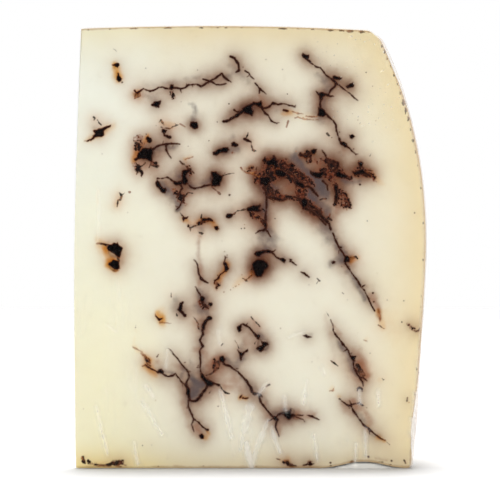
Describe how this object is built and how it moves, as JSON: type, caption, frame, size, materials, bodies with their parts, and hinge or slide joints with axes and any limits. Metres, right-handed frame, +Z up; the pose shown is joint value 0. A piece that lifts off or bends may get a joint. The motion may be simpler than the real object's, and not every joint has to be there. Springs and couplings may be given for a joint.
{
  "type": "sheep milk cheese wedge",
  "caption": "Tall wedge of truffle-veined sheep milk cheese cut from a drum-shaped wheel, wrapped tight in clear film, standing on the wheel's flat underside.",
  "frame": {"origin": "middle of the footprint, on the surface that the wedge stands on", "axes": "+Z up along the axis of the wheel, +X from the point of the wedge towards the rind in the plane of the front cut face, which looks along -Y"},
  "size_m": [0.1088, 0.0642, 0.1362],
  "materials": {
    "cheese": "ivory semi-hard cheese paste with black truffle veins, pale straw rind with dark specks",
    "film": "clear, glossy cling film with pleats",
    "truffle": "moist black-brown truffle"
  },
  "bodies": {
    "root": {"cheese_wedge": "cheese"}
  },
  "joints": []
}
